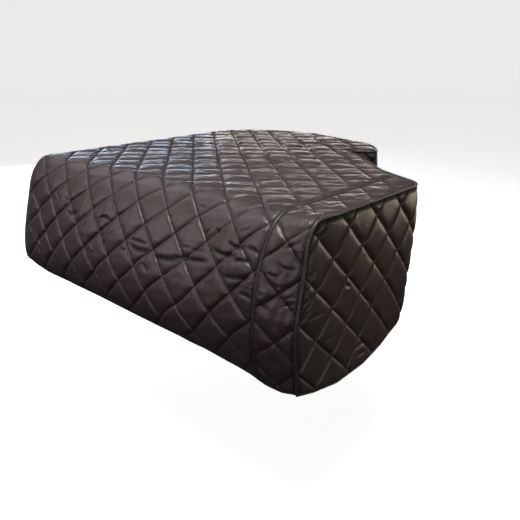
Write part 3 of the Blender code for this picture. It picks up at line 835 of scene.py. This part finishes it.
# ---------------------------------------------------------------- treble strip
# A narrow length of the same quilted nylon beside the corded seam, cut so that its diamonds
# start afresh. It closes the cover's top out to the piped treble edge.
STRIP_QUILT = Quilt(CELL_WIDTH, CELL_HEIGHT, 0.690, LID_LINE - 0.165)
STRIP_COLUMNS = 40
STRIP_CREASES = (
    Crease(0.700, 0.236, 0.030, -10, -0.008, 0.0044, 0.0042),
    Crease(0.668, 0.262, 0.016, -10, 0.000, 0.0044, 0.0042),
    Crease(0.690, 0.292, 0.036, 4, -0.006, 0.0020, 0.0060),
    Crease(0.728, 0.312, 0.018, 24, 0.004, 0.0030, 0.0045),
    Crease(0.722, 0.338, 0.020, 26, 0.000, 0.0026, 0.0050),
    Crease(0.650, 0.350, 0.016, -40, 0.000, 0.0030, 0.0045),
    Crease(0.712, 0.170, 0.034, 30, 0.000, 0.0036, 0.0060),
    Crease(0.735, 0.400, 0.014, 40, 0.000, 0.0028, 0.0045),
)
STRIP_ROW_HEIGHT = 0.006
STRIP_PUCKER = 0.0009
STRIP_UNEVEN = 0.0009


def bentside_y(x):
    """Where the top's edge crosses x on the hollow of the bentside."""
    return float(np.interp(-x, -TOP_EDGE[:APEX, 0], TOP_EDGE[:APEX, 1]))


strip_left = SEAM_X + SEAM_RADIUS - TUCK
strip_x, strip_q = lid_and_front(strip_left, HALF_WIDTH - PIPING_RADIUS + TUCK,
                                 bentside_y(strip_left) - BACK_GAP, STRIP_COLUMNS,
                                 MAIN_FRONT_ROWS, STRIP_ROW_HEIGHT)
strip_outline = rim_of(strip_x, strip_q)
strip_folds = creased(strip_x, strip_q, STRIP_CREASES)
strip_gathers = gathers(strip_q, strip_x - SEAM_X, Gather(0.019, 0.015, 41))
strip_gathers += gathers(strip_q, HALF_WIDTH - strip_x, Gather(0.016, 0.014, 43))
strip_puckers = stitch_puckers(strip_x, strip_q, STRIP_QUILT, 44)
strip_puckers *= eased(strip_x, strip_q, TAUT_PUCKER)
strip_relief = seam_gather(strip_q) * strip_gathers + STRIP_PUCKER * strip_puckers
strip_relief += STRIP_UNEVEN * waves(strip_x, strip_q, 8, 0.16, 0.03, 45)
strip_slack = slackness(strip_q, "loft") * eased(strip_x, strip_q, TAUT_LOFT)
treble_strip = quilted_sheet("treble_strip", drape(strip_x, strip_q), strip_x, strip_q,
                             strip_outline, STRIP_QUILT, strip_slack, slackness(strip_q, "slump"),
                             strip_relief, strip_folds, SHADE_BAND_WIDTH, 47, quilted_nylon)
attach(treble_strip, "root")
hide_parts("treble_strip")

# ---------------------------------------------------------------- skirts
# Three quilted lengths that hang from the piped edge round both sides and the tail, sewn to
# each other by plain seams on the bentside and on the spine. They puff out under the piping.
SKIRT_DROP = 0.500
SHOULDER_PUFF = 0.003      # how far the cloth stands out below the piping
SHOULDER_DEPTH = 0.110     # and how far down it reaches that
SHOULDER_STARTS = 0.160    # none of it this near the front corners,
SHOULDER_FULL = 0.460      # and all of it from here on
SKIRT_QUILT = Quilt(CELL_WIDTH, CELL_WIDTH, -0.692, -0.125)
SKIRT_TOP = PIPING_RADIUS - 0.5 * EDGE_THICK
SKIRT_LOFT = 0.95          # height and sag of the cells, by the full ones of the lid
SKIRT_SLUMP = 0.40
SKIRT_UNEVEN = 0.0010
SKIRT_GATHER = 0.0020      # height of the puckers below the piping
SKIRT_PUCKER = 0.0003      # and of those beside the stitching
SKIRT_SHADE_BAND = 0.0050         # width of the painted shade along the seams and the hem
PIPED_SHADE_BAND = 0.0070         # how much wider that painted shade is at the piping,
PIPED_REACH = 0.025        # and how far down

Hang = namedtuple("Hang", "run drop flare")
SKIRT_HANG = (
    Hang(-0.850, 0.506, 0.000),
    Hang(-0.770, 0.526, 0.008),
    Hang(-0.660, 0.543, 0.014),
    Hang(-0.500, 0.545, 0.012),
    Hang(-0.360, 0.537, 0.000),
    Hang(-0.270, 0.533, -0.014),
    Hang(-0.190, 0.523, -0.022),
    Hang(-0.130, 0.508, -0.020),
    Hang(-0.060, 0.498, -0.010),
    Hang(0.150, 0.505, 0.012),
    Hang(0.400, 0.498, 0.004),
    Hang(0.900, 0.506, 0.010),
    Hang(1.300, 0.498, 0.014),
    Hang(1.700, 0.508, 0.012),
    Hang(2.200, 0.500, 0.016),
    Hang(2.700, 0.484, 0.004),
    Hang(3.000, 0.470, 0.000),
    Hang(3.110, 0.440, 0.000),
)


def hang(run, z):
    """Point of a skirt's inner face: on the edge's line, rounded at the shoulder and flared."""
    down = np.clip(-z / SKIRT_DROP, 0.0, None)
    shoulder = np.clip(-z / SHOULDER_DEPTH, 0.0, 1.0)
    from_end = np.minimum(run + SKIRT_RUN_OUT, RUN_END - run)
    fade = np.clip((from_end - SHOULDER_STARTS) / (SHOULDER_FULL - SHOULDER_STARTS), 0.0, 1.0)
    out = SHOULDER_PUFF * np.sin(0.5 * math.pi * shoulder) ** 2 * fade
    out += read_off(SKIRT_HANG, run, "flare") * down ** 2
    out -= 0.5 * EDGE_THICK
    base = [np.interp(run, EDGE_RUN, EDGE_PATH[:, axis]) for axis in (0, 1)]
    side = [np.interp(run, EDGE_RUN, EDGE_NORMALS[:, axis]) for axis in (0, 1)]
    return np.stack([base[0] + side[0] * out, base[1] + side[1] * out, z], axis=-1)


def corner_drape(side, count):
    """The cloth's inner face down a front corner, as (y, z)."""
    arc = np.linspace(0.0, float(front_hem(side * HALF_WIDTH)), count)
    return drape(np.full(count, side * HALF_WIDTH), LID_LINE - arc)[:, 1:]


def sewn_y(side, z):
    """Where the line that a skirt is sewn to down a front corner is at height z."""
    points = corner_drape(side, 160)
    points -= path_normals(points) * (SKIRT_TOP - TUCK)
    falling = points[:, 1] < np.minimum.accumulate(np.append(1.0, points[:-1, 1])) - 1e-6
    line = points[falling][::-1]
    return np.interp(z, line[:, 1], line[:, 0])


SEAM_ROUND_SHOULDER = -0.084
SEAM_ON_SPINE = RUN_END - SKIRT_RUN_OUT - 0.282
SEAM_HALF_GAP = 0.0002
SETTLING_PASSES = 6        # to find where a slanting end and the wavy hem meet


def skirt_grid(start, end, columns, rows):
    """Flat (run, z) grid, hem first; an end at None follows its front corner's line.

    The hem's depth depends on the run and a slanting end's run on the depth, so each is worked
    out from the other a few times over.
    """
    share = np.linspace(0.0, 1.0, columns + 1)[None, :]
    level = np.linspace(1.0, 0.0, rows + 1)[:, None]
    run = np.repeat(np.linspace(-SKIRT_RUN_OUT if start is None else start,
                                RUN_END if end is None else end, columns + 1)[None, :],
                    rows + 1, axis=0)
    for _ in range(SETTLING_PASSES):
        z = -(SKIRT_TOP + level * (read_off(SKIRT_HANG, run, "drop") - SKIRT_TOP))
        first = sewn_y(1.0, z[:, :1]) if start is None else start
        last = RUN_END - SKIRT_RUN_OUT - sewn_y(-1.0, z[:, -1:]) if end is None else end
        run = np.broadcast_to(first + (last - first) * share, z.shape)
    return run, z


TREBLE_CREASES = (
    Crease(-0.775, 0.021, 0.014, 17, 0.000, 0.0045, 0.0040),
    Crease(-0.742, 0.033, 0.021, 21, 0.000, 0.0055, 0.0045),
    Crease(-0.802, 0.142, 0.019, 17, 0.000, 0.0045, 0.0045),
    Crease(-0.806, 0.166, 0.023, 24, 0.000, -0.0030, 0.0050),
    Crease(-0.815, 0.215, 0.021, 25, 0.000, 0.0040, 0.0050),
    Crease(-0.820, 0.262, 0.018, 25, 0.000, 0.0040, 0.0050),
    Crease(-0.775, 0.277, 0.032, 2, 0.000, 0.0030, 0.0055),
    Crease(-0.612, 0.235, 0.013, -20, 0.000, 0.0040, 0.0055),
    Crease(-0.705, 0.375, 0.021, 3, 0.000, 0.0030, 0.0050),
    Crease(-0.535, 0.470, 0.034, 2, 0.000, 0.0036, 0.0070),
    Crease(-0.525, 0.503, 0.030, -4, 0.000, 0.0030, 0.0060),
)

SkirtCut = namedtuple("SkirtCut", "name start end columns rows seed creases")
SKIRT_CUTS = (
    SkirtCut("treble_skirt", None, SEAM_ROUND_SHOULDER - SEAM_HALF_GAP, 212, 132, 51,
             TREBLE_CREASES),
    SkirtCut("tail_skirt", SEAM_ROUND_SHOULDER + SEAM_HALF_GAP, SEAM_ON_SPINE - SEAM_HALF_GAP,
             320, 80, 61, ()),
    SkirtCut("spine_skirt", SEAM_ON_SPINE + SEAM_HALF_GAP, None, 200, 80, 71, ()),
)
for cut in SKIRT_CUTS:
    run, z = skirt_grid(cut.start, cut.end, cut.columns, cut.rows)
    outline = rim_of(run, z)
    folds = creased(run, LID_LINE + z, cut.creases)
    relief = SKIRT_UNEVEN * waves(run, z, 6, 0.30, 0.09, cut.seed + 3)
    relief += SKIRT_GATHER * gathers(run, -z, Gather(0.021, 0.014, cut.seed + 5))
    relief += SKIRT_PUCKER * stitch_puckers(run, z, SKIRT_QUILT, cut.seed + 7)
    # painted shade along the seams and hem, widest just under the piping
    shade_band_width = SKIRT_SHADE_BAND + PIPED_SHADE_BAND * np.exp(-(z / PIPED_REACH) ** 2)
    skirt = quilted_sheet(cut.name, hang(run, z), run, z, outline, SKIRT_QUILT, SKIRT_LOFT,
                          SKIRT_SLUMP, relief, folds, shade_band_width, cut.seed, quilted_nylon)
    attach(skirt, "root")
    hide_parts(cut.name)

# ---------------------------------------------------------------- edge piping
# Round cord wrapped in the nylon and sewn in all round the top's edge and down both front
# corners, where it takes the wear.
TRIM_DARK = (0.046, 0.034, 0.033)
TRIM_LIGHT = (0.066, 0.050, 0.048)
trim_tape = satin_nylon("trim_tape", TRIM_DARK, TRIM_LIGHT, stitched=False)


def smooth_line(points, spacing):
    """Points evenly spaced along a polyline."""
    run = run_along(points)
    even = np.linspace(0.0, run[-1], max(4, round(run[-1] / spacing)) + 1)
    return np.column_stack([np.interp(even, run, points[:, k]) for k in range(3)])


def wrapped_cord(name, line, radius, material, closed=False, sides=12, pucker=0.05):
    """A tube round the line; its radius swells a little, as cloth pulled round a cord does."""
    ahead = np.roll(line, -1, axis=0) - np.roll(line, 1, axis=0)
    if not closed:
        ahead[0], ahead[-1] = line[1] - line[0], line[-1] - line[-2]
    ahead = unit(ahead)
    up = np.zeros_like(line)
    guide = np.array((0.3, 0.2, 0.93))
    for k, forward in enumerate(ahead):
        guide = guide - forward * (guide @ forward)
        guide = guide / np.linalg.norm(guide)
        up[k] = guide
    side = np.cross(ahead, up)
    turn = np.linspace(0.0, 2.0 * math.pi, sides, endpoint=False)
    run = run_along(line)
    swell = 1.0 + pucker * waves(run[:, None], 0.02 * turn[None, :], 5, 0.05, 0.012, 5)
    ring = up[:, None, :] * np.cos(turn)[None, :, None]
    ring = ring + side[:, None, :] * np.sin(turn)[None, :, None]
    points = line[:, None, :] + ring * (radius * swell)[..., None]
    faces = ring_faces(len(line), sides, closed).tolist()
    if not closed:
        first = np.arange(sides)
        faces += [first[::-1].tolist(), (first + (len(line) - 1) * sides).tolist()]
    return shown(name, smooth_mesh(name, points.reshape(-1, 3), faces), material)


def corner_line(side):
    """Piping centre line down one front corner, half the cloth's thickness out from it."""
    points = corner_drape(side, 90)
    points += path_normals(points) * 0.5 * EDGE_THICK
    return np.column_stack([np.full(len(points), side * HALF_WIDTH), points])


round_top = np.column_stack([EDGE_PATH[1:-1], np.full(len(EDGE_PATH) - 2, 0.5 * EDGE_THICK)])
piping_line = smooth_line(np.vstack([corner_line(1.0)[::-1], round_top, corner_line(-1.0)]), 0.006)
edge_piping = wrapped_cord("edge_piping", piping_line, PIPING_RADIUS, trim_tape)
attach(edge_piping, "root")
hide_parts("edge_piping")

# ---------------------------------------------------------------- corded seam
# The same wrapped cord sewn between the main panel and the strip, from the bentside down the
# front to the hem.
CORD_SHORT = 0.008         # the cord ends this far inside the piping
seam_q = np.linspace(bentside_y(SEAM_X) - CORD_SHORT, LID_LINE - float(front_hem(SEAM_X)), 240)
seam_points = drape(np.full(seam_q.shape, SEAM_X), seam_q)
seam_points[:, 1:] += path_normals(seam_points[:, 1:]) * 0.5 * EDGE_THICK
seam_line = smooth_line(seam_points, 0.005)
seam_cord = wrapped_cord("seam_cord", seam_line, SEAM_RADIUS, trim_tape)
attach(seam_cord, "root")
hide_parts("seam_cord")

# ---------------------------------------------------------------- hem binding
# Narrow nylon tape folded round the raw edge of the cloth and sewn down, in one closed ring
# along the front hem and the hems of the three skirts.
BINDING_RADIUS = 0.0035
HEM_RUN_OUT = 0.845        # the skirts' hem starts and ends this far in front of the shoulder
JUST_ABOVE = 0.010         # a second line this far up gives the way the front hem points
hem_x = np.linspace(-HALF_WIDTH, HALF_WIDTH, 150)
front_edge = drape(hem_x, LID_LINE - front_hem(hem_x))
front_inside = drape(hem_x, LID_LINE - front_hem(hem_x) + JUST_ABOVE)
front_binding = front_edge + unit(front_edge - front_inside) * BINDING_RADIUS
skirt_runs = np.linspace(-HEM_RUN_OUT, RUN_END - SKIRT_RUN_OUT + HEM_RUN_OUT, 420)
skirt_edge = hang(skirt_runs, -read_off(SKIRT_HANG, skirt_runs, "drop"))
skirt_binding = skirt_edge + np.array((0.0, 0.0, -BINDING_RADIUS))
corner_ends = [corner_line(side)[-1:] + np.array((0.0, 0.0, -BINDING_RADIUS))
               for side in (1.0, -1.0)]
ring = np.vstack([front_binding[1:-1], corner_ends[0], skirt_binding, corner_ends[1]])
ring_closed = smooth_line(np.vstack([ring, ring[:1]]), 0.008)[:-1]
hem_binding = wrapped_cord("hem_binding", ring_closed, BINDING_RADIUS, trim_tape, closed=True,
                           sides=8)
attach(hem_binding, "root")
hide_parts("hem_binding")
